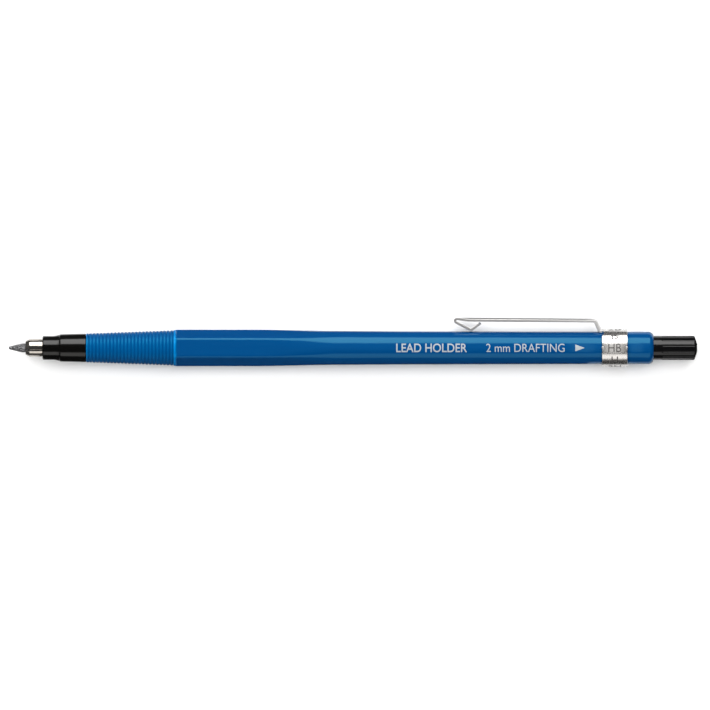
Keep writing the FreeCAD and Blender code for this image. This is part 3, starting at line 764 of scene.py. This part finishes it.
def make_lead():
    """The lead, with the slightly uneven point that a sandpaper block or a pointer leaves."""
    low, high = span("lead")
    point = 2.8
    rough = random.Random(7)
    segments = 72
    angles = even_angles(segments)
    profile = [(0.0, 0.2), (0.03, 0.27), (0.1, 0.33)]
    profile += [(0.1 + (point - 0.1) * k / 22, 0.33 + 0.67 * k / 22) for k in range(1, 23)]
    profile += [(point + 0.25, 1.0), (point + 1.2, 1.0), (point + 8, 1.0)]
    wave = [rough.uniform(0, 360) for _ in range(3)]
    rings = [[(low.x, 0, 0)]]
    for d, r in profile:
        on_point = d < point + 0.1
        ring = []
        for a in angles:
            dent = 0.0
            if on_point and d > 0.05:
                flat = max(math.cos(math.radians(3 * (a - wave[0]))), 0) ** 2
                dent = 0.03 * r * flat + rough.uniform(0, 0.022)
            ring.append(around(low.x + d, r - dent, a))
        rings.append(ring)
    rings.append([around(high.x - 0.05, 1.0, a) for a in angles])
    rings.append([around(high.x, 0.95, a) for a in angles])
    rings.append([(high.x, 0, 0)])
    verts, faces = ring_shell(rings, closed=False)
    finish_mesh("lead_stick", verts, faces, GRAPHITE, "lead", ["lead"])


make_lead()


# ---------------------------------------------------------------- push button

BUTTON_LOW, BUTTON_HIGH = span("push_button")
BUTTON_R = 2.7
FLUTE_COUNT = 12
FLUTE_START = BUTTON_LOW.x + 7.75
FLUTE_R = 0.3
FLUTE_CENTRE_R = 2.72
FLUTE_ANGLE = 80.0
FLUTE_EDGE = 0.05


def soft_min(a, b, width):
    """The smaller of two lengths, with the crossing rounded over."""
    h = max(width - abs(a - b), 0) / width
    return min(a, b) - h * h * width / 4


def fluted(x, radius, degrees):
    """The button's radius at an angle, with the flutes cut in."""
    before = max(FLUTE_START - x, 0)
    if before >= FLUTE_R:
        return radius
    cutter = math.sqrt(FLUTE_R ** 2 - before ** 2)
    step = 360 / FLUTE_COUNT
    off = math.radians((degrees - FLUTE_ANGLE + step / 2) % step - step / 2)
    inside = cutter ** 2 - (FLUTE_CENTRE_R * math.sin(off)) ** 2
    if inside <= 0:
        gap = FLUTE_CENTRE_R * abs(math.sin(off)) - cutter
        return soft_min(radius, FLUTE_CENTRE_R + gap * 4, FLUTE_EDGE)
    floor = FLUTE_CENTRE_R * math.cos(off) - math.sqrt(inside)
    return soft_min(radius, floor, FLUTE_EDGE)


def make_push_button():
    offsets = [0, 1.3, 2.6, 3.8, 4.8, 5.5, 5.9, 6.2, 6.5, 6.9, 7.6, 9, 11, 13]
    near_flute = sorted([-o for o in offsets[1:]] + offsets + [15])
    step = 360 // FLUTE_COUNT
    angles = [FLUTE_ANGLE + k * step + o for k in range(FLUTE_COUNT) for o in near_flute]
    start, end = BUTTON_LOW.x, BUTTON_HIGH.x
    edge_x = end - 0.6
    outside = [(start + 0.1, BUTTON_R)]
    outside += [(FLUTE_START - FLUTE_R * 1.05 + FLUTE_R * 0.105 * k, BUTTON_R) for k in range(11)]
    outside += [(edge_x - 0.12, BUTTON_R)]
    outside += arc_between(outside[-1], (edge_x - 0.03, BUTTON_R - 0.03), (edge_x, BUTTON_R - 0.1), 4)
    outside += [(edge_x + 0.14, 2.3), (edge_x + 0.29, 1.9), (edge_x + 0.43, 1.5), (end - 0.1, 1.1)]
    outside += arc_between(outside[-1], (end - 0.03, 1.02), (end, 0.9), 4)
    rings = [[around(start, 2.05, a) for a in angles], [around(start, BUTTON_R - 0.1, a) for a in angles]]
    for x, r in outside:
        rings.append([around(x, fluted(x, r, a), a) for a in angles])
    rings.append([(end, 0, 0)])
    chamber_end = start + 13.6
    inside = [(start, 2.05), (start + 7.6, 2.05), (start + 7.6, 1.97), (chamber_end, 1.97)]
    verts, faces = ring_shell(rings, closed=False)
    inner_rings = [[around(x, r, a) for a in angles] for x, r in inside] + [[(chamber_end, 0, 0)]]
    inner_verts, inner_faces = ring_shell(inner_rings, closed=False)
    base = len(verts)
    faces += [tuple(i + base for i in reversed(f)) for f in inner_faces]
    finish_mesh("push_button_moulding", verts + inner_verts, faces, BUTTON_BLACK, "cap", ["push_button"])


make_push_button()


# ---------------------------------------------------------------- clip band

PIP_R = 0.35
BAND_START, BAND_END = BAND_LOW.x + PIP_PROUD, BAND_HIGH.x - PIP_PROUD
BAND_MIDDLE = (BAND_START + BAND_END) / 2
BAND_R = BAND_HIGH.y
BAND_SKIN_R = BAND_R - 0.006
BAND_BORE_R = 3.66
NOTCH_R = 0.9
NOTCH_DEPTH = 0.45
NOTCH_ANGLE = 38.0
GRADES = ["HB", "H", "2H", "3H", "4H", "4B", "3B", "2B", "B"]


def notch_shift(degrees):
    """How far the relief notches beside the clip's root cut into the band's edge."""
    centre = NOTCH_DEPTH - NOTCH_R
    deepest = 0.0
    for middle in (NOTCH_ANGLE, -NOTCH_ANGLE):
        off = math.radians((degrees - middle + 180) % 360 - 180)
        across = BAND_R * math.sin(off)
        if abs(off) < 0.5 and abs(across) < NOTCH_R:
            deepest = max(deepest, centre + math.sqrt(NOTCH_R ** 2 - across ** 2))
    return deepest


def make_pip(side, centre_x):
    """A small domed tab that bridges the band's edge, where the grade marks are read."""
    rings = []
    for share, height in ((1.0, BAND_BORE_R + 0.1), (1.0, BAND_R - 0.12), (0.96, BAND_R - 0.05),
                          (0.86, BAND_R - 0.015), (0.5, BAND_R - 0.003)):
        rings.append([(centre_x + PIP_R * share * math.cos(math.radians(a)),
                       PIP_R * share * math.sin(math.radians(a)), height) for a in even_angles(24)])
    rings.insert(0, [(centre_x, 0, BAND_BORE_R + 0.1)])
    rings.append([(centre_x, 0, BAND_R)])
    verts, faces = ring_shell(rings, closed=False)
    finish_mesh(f"clip_band_{side}_pip", verts, faces, BAND_STEEL, "clip_band", ["clip_band"])


def make_clip_band():
    edge = 0.08
    outline = softened([(BAND_START, BAND_BORE_R), (BAND_START, BAND_SKIN_R), (BAND_END, BAND_SKIN_R),
                        (BAND_END, BAND_BORE_R)], edge)
    fine = [NOTCH_ANGLE + side * d for side in (-1, 1) for d in
            (0.5, 1.5, 2.5, 3.5, 4.5, 5.5, 6.5, 7.5, 8.3, 8.9, 9.4, 9.8, 10.2, 10.5, 10.8, 11.5)]
    angles = sorted(set(even_angles(120)) | set(fine) | {(360 - a) % 360 for a in fine})
    rings = []
    for x, r in outline:
        moves = x < BAND_MIDDLE
        rings.append([around(x + (notch_shift(a) if moves else 0), r, a) for a in angles])
    verts, faces = ring_shell(rings, closed=True)
    finish_mesh("clip_band_strip", verts, faces, BAND_STEEL, "clip_band", ["clip_band"])
    for side, centre_x in (("front", BAND_LOW.x + PIP_R), ("rear", BAND_HIGH.x - PIP_R)):
        make_pip(side, centre_x)
    # Grade marks in the painted-shade inlay, round the band.
    for i, grade in enumerate(GRADES):
        wide = 1.45 * len(grade)
        degrees = CAMERA_SIDE + i * 360 / len(GRADES)
        lettering(f"grade_{grade}", grade, 1.9, wide, BAND_MIDDLE - wide / 2, degrees,
                  lambda x: BAND_SKIN_R, 0.005, 0.03, ENGRAVING_PAINTED_SHADE, "clip_band")


make_clip_band()


# ---------------------------------------------------------------- clip arm

CLIP_THICKNESS = 0.59
CLIP_ARCH = 0.32
CLIP_ROOT_HALF = 1.8
CLIP_TIP_HALF = 1.6
CLIP_CORNERS = [(124.27, BAND_R), (124.17, BAND_R), (123.15, 6.56), (88.82, 6.82), (94.97, 3.63),
                (97.25, 5.37)]
CLIP_RADII = [0.15, 1.25, 0.7, 0.8]
FLATTEN_FROM = 94.6
FLATTEN_TO = 91.9


def clip_stations():
    """(point, heading, flatness) along the sheet's outer face, from the band to the free end."""
    points = [Vector((x, y)) for x, y in CLIP_CORNERS]
    path = [(points[0], (points[1] - points[0]).normalized())]

    def run_to(end, step):
        start, heading = path[-1]
        count = max(1, math.ceil((end - start).length / step))
        for k in range(1, count + 1):
            path.append((start.lerp(end, k / count), heading))

    for i, radius in enumerate(CLIP_RADII):
        corner = points[i + 1]
        arriving = (corner - points[i]).normalized()
        leaving = (points[i + 2] - corner).normalized()
        turn = math.atan2(arriving.x * leaving.y - arriving.y * leaving.x, arriving.dot(leaving))
        reach = radius * math.tan(abs(turn) / 2)
        path[-1] = (path[-1][0], arriving)
        run_to(corner - arriving * reach, 0.5)
        start = path[-1][0]
        side = math.copysign(1, turn)
        centre = start + Vector((-arriving.y, arriving.x)) * side * radius
        steps = max(6, math.ceil(abs(math.degrees(turn)) / 7))
        for k in range(1, steps + 1):
            rotate = Matrix.Rotation(turn * k / steps, 2)
            path.append((centre + rotate @ (start - centre), rotate @ arriving))
    run_to(points[-1], 0.4)
    stations = []
    folded = False
    for point, heading in path:
        folded = folded or (point.x < FLATTEN_TO)
        flat = 1.0 if folded else smooth_step((FLATTEN_FROM - point.x) / (FLATTEN_FROM - FLATTEN_TO))
        stations.append((point, heading, flat))
    return stations


def clip_ring(point, heading, flat, half_width, edge=0.09):
    """The sheet's cross-section: an arched strip with rounded edges."""
    outwards = Vector((heading.y, -heading.x))
    arch = CLIP_ARCH * (1 - flat)
    across_steps = 10
    outline = []

    def at(across, depth):
        sag = arch * (across / half_width) ** 2
        position = point - outwards * (depth + sag)
        outline.append((position.x, position.y, across))

    for k in range(across_steps + 1):
        at((half_width - edge) * (2 * k / across_steps - 1), 0)
    for k in range(1, 5):
        angle = math.pi / 2 * k / 5
        at(half_width - edge + edge * math.sin(angle), edge * (1 - math.cos(angle)))
    at(half_width, edge)
    at(half_width, CLIP_THICKNESS - edge)
    for k in range(1, 5):
        angle = math.pi / 2 * k / 5
        at(half_width - edge + edge * math.cos(angle), CLIP_THICKNESS - edge + edge * math.sin(angle))
    for k in range(across_steps + 1):
        at((half_width - edge) * (1 - 2 * k / across_steps), CLIP_THICKNESS)
    for k in range(1, 5):
        angle = math.pi / 2 * k / 5
        at(-(half_width - edge + edge * math.sin(angle)), CLIP_THICKNESS - edge * (1 - math.cos(angle)))
    at(-half_width, CLIP_THICKNESS - edge)
    at(-half_width, edge)
    for k in range(1, 5):
        angle = math.pi / 2 * k / 5
        at(-(half_width - edge + edge * math.cos(angle)), edge - edge * math.sin(angle))
    return outline


def make_clip_arm():
    stations = clip_stations()
    root_x = stations[0][0].x
    end_x = stations[-1][0].x
    tail_corner = 0.6
    touch_x = CLIP_CORNERS[4][0]
    rings = []
    folded = False
    for point, heading, flat in stations:
        folded = folded or flat >= 1
        share = smooth_step((root_x - point.x) / (root_x - FLATTEN_FROM)) if not folded else 1
        half = CLIP_ROOT_HALF + (CLIP_TIP_HALF - CLIP_ROOT_HALF) * share
        left = (end_x - point.x) / abs(heading.x) if heading.x > 0.1 else 99
        if point.x > touch_x and left < tail_corner and folded:
            half -= tail_corner - math.sqrt(max(tail_corner ** 2 - (tail_corner - left) ** 2, 0))
        rings.append(clip_ring(point, heading, flat, half))
    verts, faces = ring_shell(rings, closed=False)
    count = len(rings[0])
    faces.append(tuple(range(count)))
    faces.append(tuple(reversed(range(len(verts) - count, len(verts)))))
    finish_mesh("clip_arm_strip", verts, faces, ARM_STEEL, "clip_arm", ["clip_arm"])


make_clip_arm()


# ---------------------------------------------------------------- return spring

def make_return_spring():
    """A coil with closed end turns, built at one length; the real spring shortens as the button is pressed.
    """
    low, high = span("return_spring")
    wire = 0.2
    mean = high.y - wire
    end_turns, middle_turns = 1.75, 14
    end_pitch = 2 * wire * 1.02
    length = high.x - low.x - 2 * wire
    middle_length = length - 2 * end_turns * end_pitch
    turns = 2 * end_turns + middle_turns
    per_turn, section_points = 32, 10
    count = int(turns * per_turn)

    def x_at(turn):
        if turn < end_turns:
            return turn * end_pitch
        if turn > turns - end_turns:
            return length - (turns - turn) * end_pitch
        return end_turns * end_pitch + (turn - end_turns) / middle_turns * middle_length

    rings = []
    for i in range(count + 1):
        turn = turns * i / count
        angle = 2 * math.pi * turn
        outwards = Vector((0, math.cos(angle), math.sin(angle)))
        centre = Vector((low.x + wire + x_at(turn), 0, 0)) + outwards * mean
        ring = []
        for k in range(section_points):
            a = 2 * math.pi * k / section_points
            along = Vector((1, 0, 0))
            ring.append(tuple(centre + outwards * wire * math.cos(a) + along * wire * math.sin(a)))
        rings.append(ring)
    verts, faces = ring_shell(rings, closed=False)
    faces.append(tuple(range(section_points)))
    faces.append(tuple(reversed(range(len(verts) - section_points, len(verts)))))
    spring = finish_mesh("return_spring_coil", verts, faces, SPRING_STEEL, "barrel", ["return_spring"])
    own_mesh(spring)


make_return_spring()


# ---------------------------------------------------------------- CAD nodes that stay

def repaint(name, material):
    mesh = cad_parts[name].data
    mesh.materials.clear()
    mesh.materials.append(material)


for kept, material in {
    "collet_body": BRASS, "lead_tube": BRASS, "spring_collar": BRASS, "cap_socket": BRASS,
    "spring_seat": SPRING_STEEL, "rear_bush": BUSH_WHITE, "pointer_core": BUSH_WHITE,
    "pointer_blade": BLADE_STEEL,
}.items():
    repaint(kept, material)


# ---------------------------------------------------------------- studio

CAMERA_HEIGHT = 4000.0
VIEW_WIDTH = 159.5
VIEW_CENTRE = (68.85, -1.6)
SENSOR = 36.0
FLOOR_HALF = 3.0
# In reflections the floor is painted: a light strip under and beside the holder stands in for the lit floor,
# and the dark elsewhere is painted shade for the floor's shadow and the dark studio. The strip's edges are
# (light up to, dark from).
STRIP_MIDDLE_X = 60.0
STRIP_MIDDLE_Y = 1.2
STRIP_SIDE = (5.3, 7.8)
STRIP_ENDS = (74.5, 79.0)
STRIP_WIDENS = (60.5, 63.5)
STRIP_WIDE_SCALE = 0.45
STRIP_PAINTED_LIGHT = (0.6, 0.6, 0.6)
STRIP_PAINTED_SHADE = (0.015, 0.015, 0.015)
# (height of the direction, grey): 0 is the horizon, 1 is straight above.
WORLD_GREYS = [(0.0, 0.05), (0.25, 0.06), (0.45, 0.08), (0.8, 0.05), (0.9, 0.035), (1.0, 0.035)]


def fading(tree, value, edges, low=0.0, high=1.0):
    """Goes smoothly from low to high as a socket passes between two edges."""
    made = node(tree, "ShaderNodeMapRange", interpolation_type="SMOOTHSTEP")
    made.inputs["From Min"].default_value, made.inputs["From Max"].default_value = edges
    made.inputs["To Min"].default_value = low
    made.inputs["To Max"].default_value = high
    tree.links.new(value, made.inputs["Value"])
    return made.outputs["Result"]


def distance_from(tree, value, middle):
    """How far a socket is from a fixed number."""
    return add(tree, add(tree, value, middle, "SUBTRACT"), 0.0, "ABSOLUTE")


def make_floor():
    bottom = cad_box[0].z
    half = FLOOR_HALF
    mesh = bpy.data.meshes.new("floor")
    corners = [(-half, -half, bottom), (half, -half, bottom), (half, half, bottom), (-half, half, bottom)]
    mesh.from_pydata(corners, [], [(0, 1, 2, 3)])
    material, tree, shader = new_material("floor_paper_and_painted_reflection")
    shade = noise(tree, coordinates(tree), 0.05)
    paper = mix(tree, shade, (0.9, 0.9, 0.9), (0.88, 0.88, 0.88))
    separate = node(tree, "ShaderNodeSeparateXYZ")
    tree.links.new(coordinates(tree), separate.inputs[0])
    x, y = separate.outputs["X"], separate.outputs["Y"]
    scale = fading(tree, distance_from(tree, x, STRIP_MIDDLE_X), STRIP_WIDENS, 1.0, STRIP_WIDE_SCALE)
    aside = add(tree, distance_from(tree, y, STRIP_MIDDLE_Y), scale, "MULTIPLY")
    beyond = fading(tree, distance_from(tree, x, VIEW_CENTRE[0]), STRIP_ENDS)
    painted_shade_share = add(tree, fading(tree, aside, STRIP_SIDE), beyond, "MAXIMUM")
    # Glossy rays see the painted strip of painted light and painted shade; camera and diffuse rays see plain
    # paper.
    painted_reflection = mix(tree, painted_shade_share, STRIP_PAINTED_LIGHT, STRIP_PAINTED_SHADE)
    mirrored = node(tree, "ShaderNodeLightPath").outputs["Is Glossy Ray"]
    tree.links.new(mix(tree, mirrored, paper, painted_reflection), shader.inputs["Base Color"])
    shader.inputs["Roughness"].default_value = 0.9
    shader.inputs["Specular IOR Level"].default_value = 0.1
    mesh.materials.append(material)
    floor = bpy.data.objects.new("floor", mesh)
    bpy.context.scene.collection.objects.link(floor)


def softbox(name, lean, distance, across, length, radiance, warmth, mirrored=True, lighting=True,
            centre_x=VIEW_CENTRE[0]):
    """A softbox that leans by so many degrees from straight above towards +Y and faces the holder's axis."""
    light = bpy.data.lights.new(name, "AREA")
    light.shape = "RECTANGLE"
    light.size = length
    light.size_y = across
    light.energy = radiance * math.pi * across * length
    light.color = (1.0, 1.0 - 0.03 * warmth, 1.0 - 0.06 * warmth)
    lamp = bpy.data.objects.new(name, light)
    angle = math.radians(lean)
    lamp.location = Vector((centre_x * MM, math.sin(angle) * distance, math.cos(angle) * distance))
    lamp.rotation_euler = (-angle, 0, 0)
    lamp.visible_camera = False
    lamp.visible_glossy = mirrored
    lamp.visible_diffuse = lighting
    bpy.context.scene.collection.objects.link(lamp)


def make_world():
    """A studio in greys: dim overhead, dark at the horizon. The camera sees it plain white."""
    world = bpy.data.worlds.new("studio")
    world.use_nodes = True
    tree = world.node_tree
    shade = tree.nodes["Background"]
    source = node(tree, "ShaderNodeTexCoord")
    separate = node(tree, "ShaderNodeSeparateXYZ")
    tree.links.new(source.outputs["Generated"], separate.inputs[0])
    greys = ramp(tree, separate.outputs["Z"], WORLD_GREYS)
    seen = node(tree, "ShaderNodeLightPath").outputs["Is Camera Ray"]
    tree.links.new(mix(tree, seen, greys, (1.0, 1.0, 1.0)), shade.inputs["Color"])
    bpy.context.scene.world = world


def make_camera():
    data = bpy.data.cameras.new("camera")
    data.sensor_width = SENSOR
    data.lens = SENSOR * CAMERA_HEIGHT / VIEW_WIDTH
    data.clip_start = 0.05
    data.clip_end = 20
    camera = bpy.data.objects.new("camera", data)
    camera.location = (VIEW_CENTRE[0] * MM, VIEW_CENTRE[1] * MM, CAMERA_HEIGHT * MM)
    bpy.context.scene.collection.objects.link(camera)
    bpy.context.scene.camera = camera


make_floor()
softbox("key_softbox", lean=55.0, distance=0.7, across=0.566, length=1.0, radiance=3.8, warmth=0.2)
softbox("fill_softbox", lean=-55.5, distance=0.7, across=0.415, length=1.0, radiance=0.3, warmth=1.0)
softbox("fill_reflection", lean=-55.5, distance=0.69, across=0.409, length=1.0, radiance=0.8, warmth=1.0,
        lighting=False)
softbox("overhead_softbox", lean=4.0, distance=0.7, across=0.62, length=1.0, radiance=3.85, warmth=0.0,
        mirrored=False)
softbox("band_card", lean=0.0, distance=0.03, across=0.032, length=0.01, radiance=0.7, warmth=0.5,
        lighting=False, centre_x=BAND_MIDDLE)
make_world()
make_camera()
bpy.context.scene.view_settings.view_transform = "Standard"
